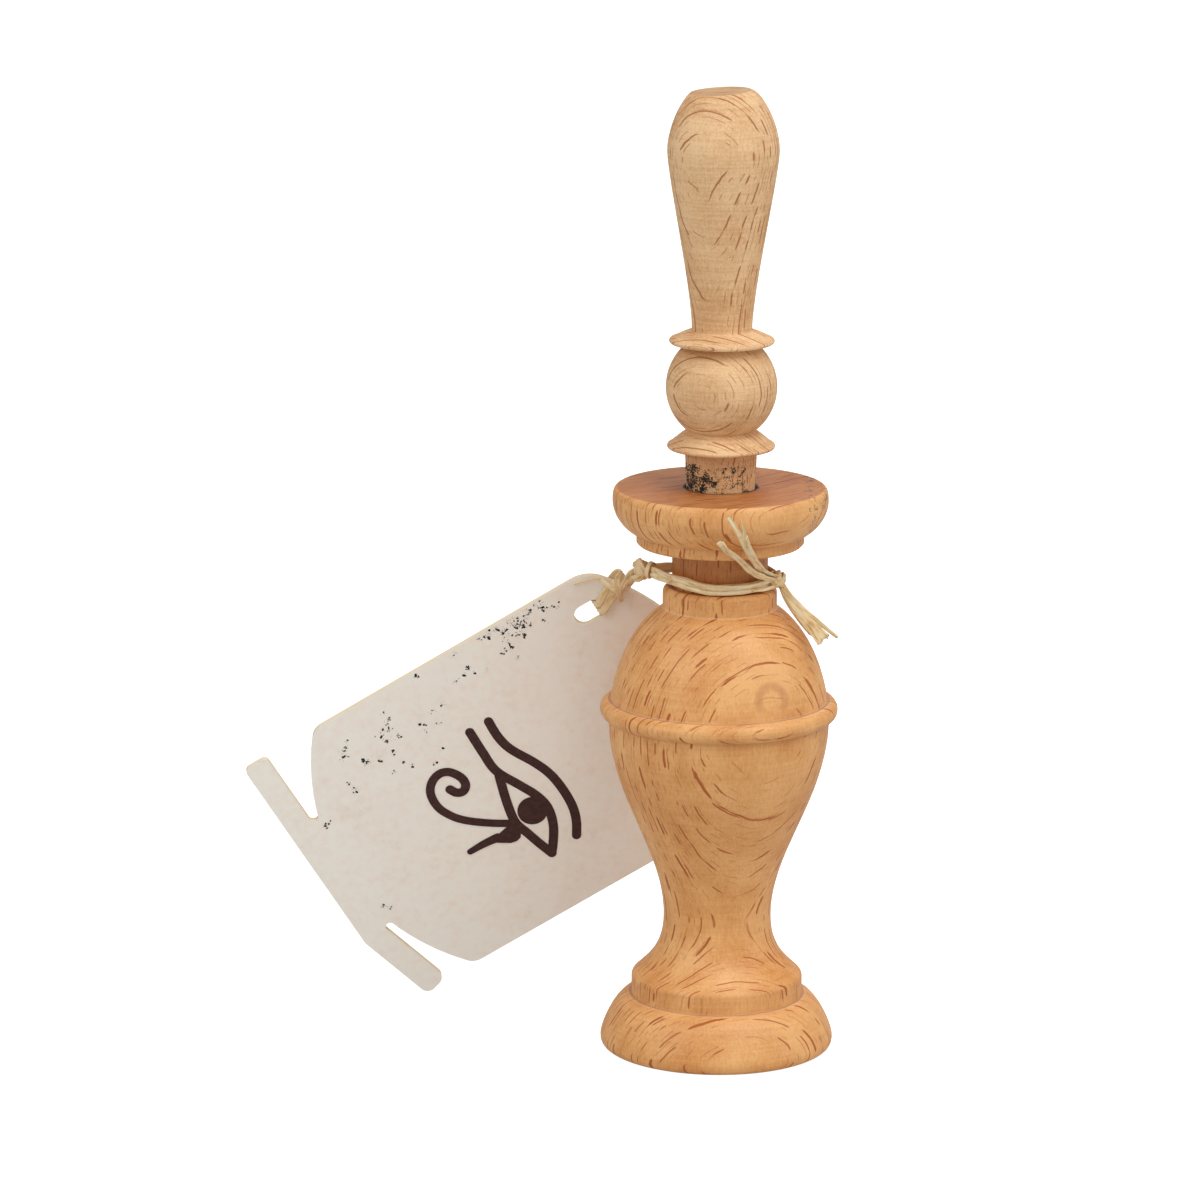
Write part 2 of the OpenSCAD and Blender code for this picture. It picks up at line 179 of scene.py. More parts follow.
class RaffiaMesh(PieceMesh):
    # the strips, wraps and split ends of one raffia piece
    def strip(self, route, width, thick, lie, seed, folds=2, taper=(1.0, 1.0), closed=False,
              sides=20, pleat=0.0, ragged=0.0):
        # the factors on seed only keep one noise apart from the next
        look = stripLook
        rng = random.Random(seed)
        path = smoothRoute(route, look["step"])
        if closed:
            path = path[:-1]
        count = len(path)
        reach = look["creaseReach"]
        creases = [(rng.uniform(-reach, reach), rng.uniform(0, 9), side) for side in (-1, 1)
                   for _ in range(folds)]
        base = len(self.verts)
        for i, spot in enumerate(path):
            if closed:
                ahead, behind = path[(i + 1) % count], path[i - 1]
            else:
                ahead, behind = path[min(i + 1, count - 1)], path[max(i - 1, 0)]
            along = (ahead - behind).normalized()
            share = i / (count - 1)
            run = i * look["step"]
            out = Vector(lie).cross(along).normalized()
            across = along.cross(out)
            turn = look["turn"] * noise.noise(Vector((seed * 3.1, run * 0.4, 0.5)))
            out, across = (out * math.cos(turn) + across * math.sin(turn),
                           across * math.cos(turn) - out * math.sin(turn))
            ease = taper[0] + (taper[1] - taper[0]) * share
            sway = look["widthSway"] * noise.noise(Vector((seed * 1.7, run * 0.5, 0)))
            wide = width * ease * (1 + sway)
            sway = look["depthSway"] * noise.noise(Vector((run * 0.6, seed * 2.3, 4)))
            deep = thick * (1 + sway)
            drift = look["pleatDrift"] * noise.noise(Vector((seed * 0.7, 3.0, run * 0.25)))
            for k in range(sides):
                a = 2 * math.pi * k / sides
                c, s = math.cos(a), math.sin(a)
                x = math.copysign(abs(c) ** look["edge"], c)
                y = math.copysign(abs(s) ** look["crown"], s)
                wave = abs((x * look["pleats"] + drift + seed * 0.37) % 1.0 - 0.5) * 4 - 1
                end = ragged * noise.noise(Vector((x * 3.1, seed, 7.7))) * max(0.0, share * 6 - 5)
                dent = 0.0
                for at, phase, side in creases:
                    bend = noise.noise(Vector((phase, run * 0.35, seed)))
                    line = at + look["creaseSway"] * bend
                    if s * side > 0:
                        near = math.exp(-((x - line) / look["creaseWidth"]) ** 2)
                        dent += look["creaseDepth"] * near
                grain = look["grain"] * noise.noise(Vector((x * 9, seed, run * 0.25 + s)))
                y *= 1 - min(dent, look["deepest"]) + grain
                self.verts.append(spot + across * (wide / 2 * x)
                                  + out * (deep / 2 * y + pleat * wave) + along * end)
                self.uvs.append((k / sides * width * 2 * look["mapScale"],
                                 run * look["mapScale"]))
        for i in range(count if closed else count - 1):
            for k in range(sides):
                a = base + i * sides + k
                b = base + i * sides + (k + 1) % sides
                c = base + (i + 1) % count * sides + (k + 1) % sides
                d = base + (i + 1) % count * sides + k
                self.faces.append((a, b, c, d))
        if not closed:
            self.faces.append(tuple(base + k for k in range(sides - 1, -1, -1)))
            self.faces.append(tuple(base + (count - 1) * sides + k for k in range(sides)))

    def lump(self, centre, radii, seed, rough):
        # tight core of a knot, under its wraps
        rings, around, mapStep = 14, 20, 0.02
        centre = Vector(centre)
        base = len(self.verts)
        for i in range(1, rings):
            lat = math.pi * i / rings
            for k in range(around):
                lon = 2 * math.pi * k / around
                u = Vector((math.sin(lat) * math.cos(lon), math.sin(lat) * math.sin(lon),
                            -math.cos(lat)))
                bump = 1 + rough * noise.noise(u * 2.6 + Vector((seed, 0, 0)))
                self.verts.append(centre + Vector([u[j] * radii[j] * bump for j in range(3)]))
                self.uvs.append((k * mapStep, i * mapStep))
        low = len(self.verts)
        self.verts += [centre + Vector((0, 0, s * radii[2])) for s in (-1, 1)]
        self.uvs += [(0.0, 0.0), (0.0, 0.3)]
        for i in range(rings - 2):
            row = base + i * around
            for k in range(around):
                n = (k + 1) % around
                self.faces.append((row + k, row + n, row + around + n, row + around + k))
        top = base + (rings - 2) * around
        for k in range(around):
            n = (k + 1) % around
            self.faces.append((low, base + n, base + k))
            self.faces.append((low + 1, top + k, top + n))

    def wrap(self, centre, axis, radius, width, thick, seed, lift=0.0):
        # one closed turn of flat raffia round a knot, with its width along the axis
        points = 16
        axis = Vector(axis).normalized()
        side = axis.orthogonal().normalized()
        other = axis.cross(side)
        ring = []
        for k in range(points + 1):
            a = 2 * math.pi * k / points
            ring.append(Vector(centre) + side * (radius * math.cos(a))
                        + other * (radius * math.sin(a)) + axis * (lift * math.sin(2 * a)))
        self.strip(ring, width, thick, axis, seed, closed=True, sides=16)


# Natural raffia: palm leaf stripped, dried and split, so it is pale straw with lengthwise
# fibres, a dry skin with a faint sheen, and darker creases where the strip folds.
# Its fibres are 0.09 mm wide, and drawn coarser so that they show.
raffiaLook = {"pale": "#fbe8c2", "straw": "#efd19c", "dark": "#cc9d5c", "fibre": 0.09,
              "coarser": 2, "fibreLength": 2.5, "patch": 2.5, "shares": (0.45, 0.55),
              "bump": 0.5, "bumpDepth": 0.07, "Roughness": 0.58, "IOR": 1.5,
              "Sheen Weight": 0.1}


def driedRaffia(look):
    material, tree, shader = newMaterial("driedRaffia", look)
    strand = addNode(tree, "TexCoord").outputs["UV"]
    unit = 1 / stripLook["mapScale"]
    stretch = (unit / look["fibre"] / look["coarser"], unit / look["fibreLength"], 1)
    fibres = addNode(tree, "Mapping", {"Scale": stretch}, {"Vector": strand})
    streak = addNode(tree, "TexNoise", {"Scale": 1.0, "Detail": 3.0}, {"Vector": fibres})
    patch = addNode(tree, "TexNoise", {"Scale": unit / look["patch"], "Detail": 2.0},
                    {"Vector": strand})
    tone = addNode(tree, "Math", {"operation": "MULTIPLY", 1: look["shares"][0]}, {0: patch})
    tone = addNode(tree, "Math", {"operation": "MULTIPLY_ADD", 1: look["shares"][1]},
                   {0: streak, 2: tone})
    stops = [(0.36, look["dark"]), (0.47, look["straw"]), (0.6, look["pale"])]
    colour = addNode(tree, "ValToRGB", {"stops": stops}, {0: tone})
    bump = addNode(tree, "Bump", {"Strength": look["bump"], "Distance": look["bumpDepth"] * mm},
                   {"Height": streak})
    connect(tree, shader, {"Base Color": colour, "Normal": bump})
    return material


raffia = driedRaffia(raffiaLook)

# Raffia round the neck: the loop's route is the one in the part's source. Each strand's
# size is its width and thickness.
loopRoute = [(-9.4, 2.3, 64.9), (-7, -2.3, 65), (-5, -5, 65), (-1.8, -6.8, 64.5),
             (1.8, -6.8, 64.5), (5, -5, 64.6), (6.9, -2.4, 64.9), (7.1, 1, 64.9),
             (5.4, 4.7, 64.7), (2, 6.9, 64.6), (-1.8, 7, 64.6), (-5.4, 5.8, 64.7),
             (-9.4, 3.8, 64.9)]
loopLook = {"size": (1.5, 0.55), "overlay": (0.85, 0.34), "end": (0.6, 0.3), "pleat": 0.05,
            "seed": 11}


def makeNeckLoop(look):
    first = RaffiaMesh()
    first.strip(loopRoute, *look["size"], (0, 0, 1), look["seed"], folds=3, sides=28,
                pleat=look["pleat"])
    # a second flat strand lies over the front of the first and runs on into the knot
    second = RaffiaMesh()
    second.strip([(-8.7, 0.3, 65.55), (-7.3, -2.5, 65.5), (-5.3, -5.2, 65.4), (-1.9, -7.2, 64.9),
                  (1.9, -7.25, 64.85), (5.1, -5.5, 65.0), (6.9, -3.7, 65.2)],
                 *look["overlay"], (0, -0.25, 1), look["seed"] + 1, folds=1, taper=(1.0, 0.8),
                 pleat=look["pleat"])
    second.strip([(4.3, -6.1, 64.15), (5.6, -5.2, 64.1), (6.9, -4.0, 64.2), (7.7, -3.3, 64.4)],
                 *look["end"], (0, 0, 1), look["seed"] + 2, folds=1, taper=(0.5, 1.0))
    return (first.build("neckLoop", "tie", "raffia", raffia, ["neck_loop"]),
            second.build("neckOverlay", "tie", "raffia", raffia))


# Each wrap of a knot: shift from the centre, axis, radius, width, thickness and lift.
# Two turns slant over the front of the neck knot, and one stands up behind them.
neckKnotLook = {"centre": (7.6, -2.9, 65.0), "core": (1.15, 1.0, 0.85), "rough": 0.12,
                "seed": 31, "wraps": [
                    ((-0.3, -0.1, 0.05), (0.75, -0.25, 0.75), 1.05, 0.85, 0.36, 0.0),
                    ((0.3, 0, 0.1), (0.9, 0.1, 0.35), 1.05, 0.75, 0.34, 0.1),
                    ((0.05, -0.1, 0.05), (-0.6, -0.2, 0.85), 1.12, 0.5, 0.3, -0.1)]}
# The lead knot has an upright band on the loop's side, and two broad folds cross below it
leadKnotLook = {"centre": (-10.3, 3.0, 64.9), "core": (1.15, 1.15, 1.35), "rough": 0.2,
                "seed": 47, "wraps": [
                    ((1.0, -0.6, 0.15), (0.9, -0.45, -0.2), 1.05, 0.62, 0.34, 0.0),
                    ((-0.1, -0.1, 0.25), (0.75, 0.1, 0.6), 1.25, 1.35, 0.36, 0.15),
                    ((-0.35, 0, -0.35), (0.65, 0.1, -0.75), 1.2, 1.15, 0.34, -0.12)]}


def makeKnot(name, node, look):
    shape = RaffiaMesh()
    centre = Vector(look["centre"])
    shape.lump(centre, look["core"], look["seed"], look["rough"])
    for number, (shift, axis, radius, width, thick, lift) in enumerate(look["wraps"], 1):
        shape.wrap(centre + Vector(shift), axis, radius, width, thick, look["seed"] + number,
                   lift)
    return shape.build(name, "tie", "raffia", raffia, [node])


# Each tail is a few flat strands laid together, with their ends torn apart: the node it
# stands for, the way its width lies, a seed, and each strand's route, width and taper
tailLook = {"thick": 0.36, "finger": 0.62, "pleat": 0.07, "ragged": (0.35, 0.9)}
tailStrands = {
    "upperTailLong": ("upper_tail_long", (1, 0.2, 0), 61, [
        ([(7.3, -3.4, 65.5), (5.7, -6.4, 66.8), (4.55, -10.4, 68.9), (3.65, -12.9, 70.8),
          (3.0, -14.2, 72.4), (2.7, -14.7, 73.3)], 1.15, (1.0, 1.0)),
        ([(3.0, -14.1, 72.2), (2.4, -14.75, 73.3), (1.7, -15.2, 74.6), (0.75, -15.7, 76.1)],
         0.72, (1.0, 0.85)),
        ([(3.2, -14.0, 72.0), (2.85, -14.7, 73.3), (2.75, -15.1, 74.4), (2.4, -15.5, 75.6)],
         0.85, (1.0, 0.2))]),
    "upperTailShort": ("upper_tail_short", (1, 0, 0.3), 71, [
        ([(7.2, -3.9, 65.1), (5.6, -6.5, 66.1), (3.95, -8.9, 67.5), (2.1, -12.2, 69.9),
          (0.5, -14.3, 71.5), (-0.3, -15.2, 72.6)], 0.95, (1.15, 0.75)),
        ([(0.75, -13.95, 71.2), (0.3, -14.7, 71.85), (-0.1, -15.1, 72.4), (-0.45, -15.3, 72.85)],
         0.95, (0.7, 1.05))]),
    "lowerTailFront": ("lower_tail_front", (0.7, 0, 0.7), 81, [
        ([(8.2, -3.2, 64.3), (9.3, -3.8, 62.9), (10.6, -4.35, 61.7), (12.2, -4.9, 60.4),
          (13.9, -5.5, 59.1), (15.5, -6.1, 57.9)], 1.0, (0.9, 0.45)),
        ([(8.3, -3.3, 64.0), (9.4, -4.0, 62.3), (10.5, -4.6, 61.0), (11.6, -5.2, 59.8),
          (12.6, -5.7, 58.5), (13.5, -6.1, 57.3)], 1.25, (0.8, 1.15)),
        ([(8.8, -3.5, 63.4), (10.6, -4.45, 61.4), (12.1, -5.05, 59.9), (13.4, -5.6, 58.7),
          (14.4, -5.9, 57.8)], 0.9, (0.8, 0.7))]),
    "lowerTailBack": ("lower_tail_back", (0.8, 0.2, 0.5), 91, [
        ([(8.1, -2.2, 64.2), (8.9, -1.9, 62.4), (9.9, -1.7, 60.7), (11.1, -1.6, 59.0),
          (12.3, -1.55, 57.5), (13.2, -1.5, 56.5)], 0.85, (0.9, 0.9)),
        ([(7.95, -2.2, 63.9), (8.6, -1.9, 62.2), (9.6, -1.7, 60.4), (10.8, -1.6, 58.7),
          (12.0, -1.5, 57.2)], 0.5, (0.9, 0.5))]),
}


def makeTail(name, node, lie, seed, strands, look):
    shape = RaffiaMesh()
    for k, (route, width, taper) in enumerate(strands):
        thick = look["thick"] * (look["finger"] if k else 1.0)
        shape.strip(route, width, thick, lie, seed + 3 * k, taper=taper, pleat=look["pleat"],
                    ragged=look["ragged"][min(k, 1)])
    return shape.build(name, "tie", "raffia", raffia, [node])


loop, overlay = makeNeckLoop(loopLook)
neckKnot = makeKnot("neckKnot", "neck_knot", neckKnotLook)
leadKnot = makeKnot("leadKnot", "lead_knot", leadKnotLook)
tails = [makeTail(name, *rows, tailLook) for name, rows in tailStrands.items()]
print("neck tie made")

# The tag's own frame: the slot's centre, then its lean, turn and rise in degrees, and the
# point on the lead that it swings about
tagFrame = {"place": (-17.4, 13.3375, 56.6626), "lean": 10.0, "turn": 4.0, "rise": 31.8,
            "pivot": (-12.7249, 11.2731, 60.4018)}
lean, turn, rise = (math.radians(tagFrame[k]) for k in ("lean", "turn", "rise"))
level = Vector((math.cos(turn), math.sin(turn), 0))
upward = Vector((math.sin(turn) * math.sin(lean), -math.cos(turn) * math.sin(lean),
                 math.cos(lean)))
tagAcross = math.sin(rise) * level - math.cos(rise) * upward
tagAlong = math.cos(rise) * level + math.sin(rise) * upward
tagOut = tagAcross.cross(tagAlong)


def onTag(x, y, z=0.0):
    # across the card, along it and out of its printed face, from the slot's centre
    return Vector(tagFrame["place"]) + x * tagAcross + y * tagAlong + z * tagOut


leadLook = {"size": (1.15, 0.5), "second": (0.8, 0.35), "pleat": 0.06, "seed": 101}


def makeLead(look):
    shape = RaffiaMesh()
    pivot = Vector(tagFrame["pivot"])
    shape.strip([(-10.9, 4, 64.4), (-11.3, 6.4, 63.4), (-11.9, 8.8, 62), pivot],
                *look["size"], (1, 0, 0), look["seed"], taper=(0.9, 1.0), pleat=look["pleat"])
    shape.strip([(-11.3, 3.8, 64.9), (-11.9, 6.2, 63.9), (-12.5, 8.8, 62.3),
                 pivot + Vector((-0.2, 0, 0.1))],
                *look["second"], (1, 0.2, 0.2), look["seed"] + 2)
    return shape.build("leadStrand", "tie", "raffia", raffia, ["lead_strand"])


hitchLook = {"centre": (-1.7, 5.1, 1.05), "core": (1.0, 0.75, 0.9), "rough": 0.2,
             "fold": (1.15, 0.3), "strand": (0.7, 0.3), "tongue": (0.8, 0.3), "end": (0.4, 0.2),
             "seed": 111}


def makeHitch(look):
    shape = RaffiaMesh()
    seed = look["seed"]
    centre = onTag(*look["centre"])
    shape.lump(centre, look["core"], seed, look["rough"])
    # a broad fold over the card's edge, flat strands across it, and a thin end along the edge
    shape.wrap(centre + 0.15 * tagAlong, tagAlong + 0.35 * tagAcross, 0.9, *look["fold"],
               seed + 2)
    shape.wrap(centre, tagAcross - 0.6 * tagAlong, 0.95, *look["strand"], seed + 4, lift=0.1)
    tongue = [(0.5, 4.7, 1.15), (-0.9, 5.0, 1.75), (-2.4, 4.6, 1.6), (-3.6, 3.9, 0.75)]
    shape.strip([onTag(*p) for p in tongue], *look["tongue"], tagAlong, seed + 6,
                taper=(0.8, 1.0), sides=14, pleat=0.05)
    thinEnd = [(-3.0, 4.3, 1.0), (-3.9, 3.4, 0.5), (-4.4, 1.9, 0.3), (-4.75, 0.3, 0.22)]
    shape.strip([onTag(*p) for p in thinEnd], *look["end"], tagAcross, seed + 8,
                taper=(1.0, 0.4), sides=12)
    return shape.build("tagHitch", "tag", "raffia", raffia, ["tag_hitch"])


# Two strands side by side go from the hitch through the slot and back behind the card
tagLoopLook = {"size": (1.2, 0.45), "apart": 0.6, "pleat": 0.06, "seed": 121, "route": [
    (-1.7, 4.6, 1.0), (-0.9, 3.3, 0.62), (0, 1.75, 0.5), (0, 1.1, -0.5), (0, 1.75, -1.45),
    (-0.85, 3.7, -1.5), (-1.7, 5.7, -1.45), (-1.7, 6.6, -0.5), (-1.7, 5.7, 0.75)]}


def makeTagLoop(look):
    shape = RaffiaMesh()
    for number, side in enumerate((-1, 1)):
        route = [onTag(x + side * look["apart"], y, z) for x, y, z in look["route"]]
        shape.strip(route, *look["size"], tagAcross, look["seed"] + 10 * number,
                    pleat=look["pleat"])
    return shape.build("tagLoop", "tag", "raffia", raffia, ["tag_loop"])


lead = makeLead(leadLook)
makeHitch(hitchLook)
makeTagLoop(tagLoopLook)
loopPath = smoothRoute(loopRoute, stripLook["step"])

# Beech: pale tan, fine pored, with short red-brown ray flecks along its growth layers.
# The vessel's wood is steamed, turned and thinly sealed, so it is warmer and has a satin skin.
# The stopper's is bare and sanded, so it is paler, fuzzier and matt. Lengths are in mm.
# Pores are 0.1 mm across, drawn 0.25 mm across so that they show, and the turning tool's
# fine uneven rings are 0.3 mm apart.
beechLook = {
    "IOR": 1.5,
    "drift": [(0.07, 2.2), (0.35, 0.3)],  # how often per mm the growth layers wander, how far
    "poresPerMm": (4.0, 4.0, 0.7), "ringsPerMm": (0.12, 0.12, 3.3), "napPerMm": 3.2,
    "patchesPerMm": 0.13, "yearTurn": 1.9,  # radians of a growth band's swing per mm
    "years": 0.06, "pores": 0.55, "contrast": (-0.34, 0.25),
    "endReach": (0.95, 1.0, 0.0, 0.8), "skin": (0.35, 0.65), "bump": 0.35, "bumpDepth": 0.05,
    "kohl": "#1b1714", "kohlPerMm": (4.4, 0.9), "kohlShares": (0.8, 0.7),
    "kohlEdge": (1.44, 1.5), "dustAcross": (-3.5, 4.8)}
# Sanding dust stays in the corners of the turned steps as a thin pale line
seamLine = (0.15, 0.05, 0.35, "MIX", "#f2dab2")
# Each row of flecks: layer spacing, half width, length, how many and how strong. Each ring:
# height, its half width at the outside and where it is full, strength and colour.
vesselLook = {
    **beechLook, "pale": "#f1b775", "warm": "#d38a44", "fleck": "#ae5518", "endGrain": "#c6a595",
    "facing": 23.0, "twist": 0.34, "mid": 38.0, "seed": 3.0, "bend": 55.0, "calm": (0.14, 0.42),
    "flecks": [(1.05, 0.125, 2.0, 0.66, 0.85), (0.55, 0.075, 1.3, 0.56, 0.45),
               (3.1, 0.2, 2.4, 0.44, 0.95)],
    "low": 0.40, "high": 0.54, "fuzz": 0.36, "lathe": 0.11,
    "pinKnot": {"place": (6.7, -12.1, 50.6), "radius": 2.0, "edge": (0.8, 0.3, 0.0, 0.4),
                "open": (-1.9, -0.2), "colour": "#b87347"},
    # painted shade: a band multiplied into the colour darkens the narrow neck under the head
    "rings": [(7.1, *seamLine), (48.08, *seamLine), (60.72, *seamLine),
              (66.45, 2.95, 2.75, 1.0, "MULTIPLY", "#e0cdb6")],
    "dustReach": (5.75, 4.9), "dustHeight": [(9.0, 12.0, 0.0, 1.0)], "dustSide": (1.0, 1.0),
    "rimDust": {"across": (8.5, 11.5, 0.0, 0.6), "height": (70.0, 72.5)}}
stopperLook = {
    **beechLook, "pale": "#f1c999", "warm": "#d3a06b", "fleck": "#a3592a", "endGrain": "#d8d2cf",
    "facing": -24.0, "twist": 0.2, "mid": 110.0, "seed": 41.3, "bend": 22.0,
    "calm": (0.07, 0.24),
    "flecks": [(1.1, 0.13, 2.2, 0.76, 0.82), (0.5, 0.08, 1.4, 0.66, 0.5)],
    "low": 0.62, "high": 0.78, "fuzz": 0.8, "lathe": 0.22,
    "rings": [(96.45, *seamLine), (84.72, *seamLine)],
    "dustReach": (5.3, 5.1), "dustSide": (1.0, 0.74),
    "dustHeight": [(82.0, 80.2, 0.0, 0.8), (77.7, 76.2, 0.0, 1.0)]}
stickLook = dict(stopperLook, seed=29.0, dustSide=(1.0, 1.0),
                 dustHeight=[(74.0, 66.0, 0.0, 0.8), (50.0, 30.0, 0.0, 1.0)])


def turnedBeech(name, look):
    material, tree, shader = newMaterial(name, look)
    coords, place = placeInMm(tree)
    x, _, z = addNode(tree, "SeparateXYZ", links={0: place}).outputs

    # growth layers stand nearly upright, face the given way and turn a little with height
    angle = addNode(tree, "Math", {
        "operation": "MULTIPLY_ADD", 1: -math.radians(look["twist"]),
        2: math.radians(look["twist"] * look["mid"] - look["facing"])}, {0: z})
    turned = addNode(tree, "VectorRotate", {"rotation_type": "Z_AXIS"},
                     {"Vector": place, "Angle": angle})
    along, inward, _ = addNode(tree, "SeparateXYZ", links={0: turned}).outputs
    facing = addNode(tree, "VectorRotate", {"rotation_type": "Z_AXIS"},
                     {"Vector": coords.outputs["Normal"], "Angle": angle})
    face = addNode(tree, "SeparateXYZ", links={0: facing}).outputs[1]
    square = addNode(tree, "Math", {"operation": "MULTIPLY"}, {0: along, 1: along})
    deep = addNode(tree, "Math", {"operation": "MULTIPLY", 1: 0.5 / look["bend"]}, {0: square})
    deep = addNode(tree, "Math", {"operation": "SUBTRACT"}, {0: deep, 1: inward})
    for perMm, reach in look["drift"]:
        cloud = addNode(tree, "TexNoise", {"Scale": perMm, "Detail": 1.0}, {"Vector": place})
        deep = addNode(tree, "Math", {"operation": "MULTIPLY_ADD", 1: reach},
                       {0: cloud, 2: deep})
    # slope is 0 where the surface lies along the layers, and flecks fade out there
    slope = addNode(tree, "Math", {"operation": "MULTIPLY"}, {0: face, 1: face})
    slope = addNode(tree, "Math", {"operation": "SUBTRACT", 0: 1.0}, {1: slope})
    slope = addNode(tree, "Math", {"operation": "MAXIMUM", 1: 0.01}, {0: slope})
    slope = addNode(tree, "Math", {"operation": "SQRT"}, {0: slope})
    calm = addNode(tree, "MapRange", {"range": look["calm"]}, {0: slope})

    def dashes(layer, half, length, cover, strength, seed):
        # flecks follow the layers, break up along them and keep their width on any slope
        count = addNode(tree, "Math", {"operation": "MULTIPLY_ADD", 1: 1 / layer, 2: seed},
                        {0: deep})
        index = addNode(tree, "Math", {"operation": "FLOOR"}, {0: count})
        part = addNode(tree, "Math", {"operation": "FRACT"}, {0: count})
        shift = addNode(tree, "TexWhiteNoise", {"noise_dimensions": "1D"}, {"W": index})
        centre = addNode(tree, "Math", {"operation": "MULTIPLY_ADD", 1: 0.4, 2: 0.3},
                         {0: shift})
        away = addNode(tree, "Math", {"operation": "SUBTRACT"}, {0: part, 1: centre})
        away = addNode(tree, "Math", {"operation": "ABSOLUTE"}, {0: away})
        away = addNode(tree, "Math", {"operation": "MULTIPLY", 1: layer / half}, {0: away})
        away = addNode(tree, "Math", {"operation": "DIVIDE"}, {0: away, 1: slope})
        across = addNode(tree, "Math", {"operation": "MULTIPLY", 1: 0.5 / length}, {0: along})
        jump = addNode(tree, "Math", {"operation": "MULTIPLY", 1: 5.37}, {0: index})
        up = addNode(tree, "Math", {"operation": "MULTIPLY", 1: 1 / length}, {0: z})
        spot = addNode(tree, "CombineXYZ", links={0: across, 1: jump, 2: up})
        gate = addNode(tree, "TexNoise", {"Scale": 1.0, "Detail": 0.0}, {"Vector": spot})
        gate = addNode(tree, "MapRange", {"range": (0.62 - cover * 0.2, 0.73 - cover * 0.2)},
                       {0: gate})
        fleck = addNode(tree, "Math", {"operation": "SUBTRACT"}, {0: gate, 1: away})
        return addNode(tree, "MapRange", {"range": (0.0, 0.4, 0.0, strength)}, {0: fleck})

    for number, row in enumerate(look["flecks"]):
        one = dashes(*row, look["seed"] + 31 * number)
        flecks = addNode(tree, "Math", {"operation": "MAXIMUM"},
                         {0: flecks, 1: one}) if number else one
    flecks = addNode(tree, "Math", {"operation": "MULTIPLY"}, {0: flecks, 1: calm})

    stretched = addNode(tree, "VectorMath", {"operation": "MULTIPLY", 1: look["poresPerMm"]},
                        {0: place})
    pores = addNode(tree, "TexNoise", {"Scale": 1.0, "Detail": 2.0}, {"Vector": stretched})
    squashed = addNode(tree, "VectorMath", {"operation": "MULTIPLY", 1: look["ringsPerMm"]},
                       {0: place})
    lathe = addNode(tree, "TexNoise", {"Scale": 1.0, "Detail": 2.0}, {"Vector": squashed})
    nap = addNode(tree, "TexNoise", {"Scale": look["napPerMm"], "Detail": 2.0,
                                     "Roughness": 0.7}, {"Vector": place})
    patches = addNode(tree, "TexNoise", {"Scale": look["patchesPerMm"], "Detail": 3.0},
                      {"Vector": place})
    swing = addNode(tree, "Math", {"operation": "MULTIPLY", 1: look["yearTurn"]}, {0: deep})
    years = addNode(tree, "Math", {"operation": "SINE"}, {0: swing})
    tone = patches
    for pattern, share in ((years, look["years"]), (pores, look["pores"]),
                           (nap, look["fuzz"]), (lathe, look["lathe"] * 3)):
        tone = addNode(tree, "Math", {"operation": "MULTIPLY_ADD", 1: share},
                       {0: pattern, 2: tone})
    middle = 0.5 * (1 + look["pores"] + look["fuzz"] + look["lathe"] * 3)
    tone = addNode(tree, "MapRange", {"range": [middle + end for end in look["contrast"]]},
                   {0: tone})
    wood = addNode(tree, "ValToRGB", {"stops": [(0.0, look["warm"]), (1.0, look["pale"])]},
                   {0: tone})
    coats = [(flecks, "MIX", look["fleck"])]

    if "pinKnot" in look:
        # a small branch left a ring of redder wood on the dome
        knot = look["pinKnot"]
        span = addNode(tree, "VectorMath", {"operation": "DISTANCE", 1: knot["place"]},
                       {0: place}).outputs["Value"]
        rim = addNode(tree, "Math", {"operation": "SUBTRACT", 1: knot["radius"]}, {0: span})
        rim = addNode(tree, "Math", {"operation": "ABSOLUTE"}, {0: rim})
        rim = addNode(tree, "MapRange", {"range": knot["edge"]}, {0: rim})
        upper = [knot["place"][2] + end for end in knot["open"]]
        upper = addNode(tree, "MapRange", {"range": upper}, {0: z})
        rim = addNode(tree, "Math", {"operation": "MULTIPLY"}, {0: rim, 1: upper})
        coats.append((rim, "MIX", knot["colour"]))

    # each ring is a thin pale line of sanding dust, or the band of painted shade on the neck
    for height, outside, full, strength, how, colour in look["rings"]:
        gap = addNode(tree, "Math", {"operation": "SUBTRACT", 1: height}, {0: z})
        gap = addNode(tree, "Math", {"operation": "ABSOLUTE"}, {0: gap})
        ring = addNode(tree, "MapRange", {"range": (outside, full, 0.0, strength)}, {0: gap})
        coats.append((ring, how, colour))

    # flat end grain takes up more of the finish, so it is redder and darker
    upright = addNode(tree, "SeparateXYZ", links={0: coords.outputs["Normal"]}).outputs[2]
    ends = addNode(tree, "MapRange", {"range": look["endReach"]}, {0: upright})
    coats.append((ends, "MULTIPLY", look["endGrain"]))

    # kohl dust clings round the bore, on the plug and on the stick
    flat = addNode(tree, "VectorMath", {"operation": "MULTIPLY", 1: (1.0, 1.0, 0.0)},
                   {0: place})
    reach = addNode(tree, "VectorMath", {"operation": "LENGTH"}, {0: flat}).outputs["Value"]
    near = addNode(tree, "MapRange", {"range": look["dustReach"]}, {0: reach})
    for number, row in enumerate(look["dustHeight"]):
        one = addNode(tree, "MapRange", {"range": row}, {0: z})
        zone = addNode(tree, "Math", {"operation": "MAXIMUM"},
                       {0: zone, 1: one}) if number else one
    side = addNode(tree, "MapRange", {"range": look["dustAcross"] + look["dustSide"]}, {0: x})
    dust = addNode(tree, "Math", {"operation": "MULTIPLY"}, {0: near, 1: zone})
    dust = addNode(tree, "Math", {"operation": "MULTIPLY"}, {0: dust, 1: side})
    if "rimDust" in look:
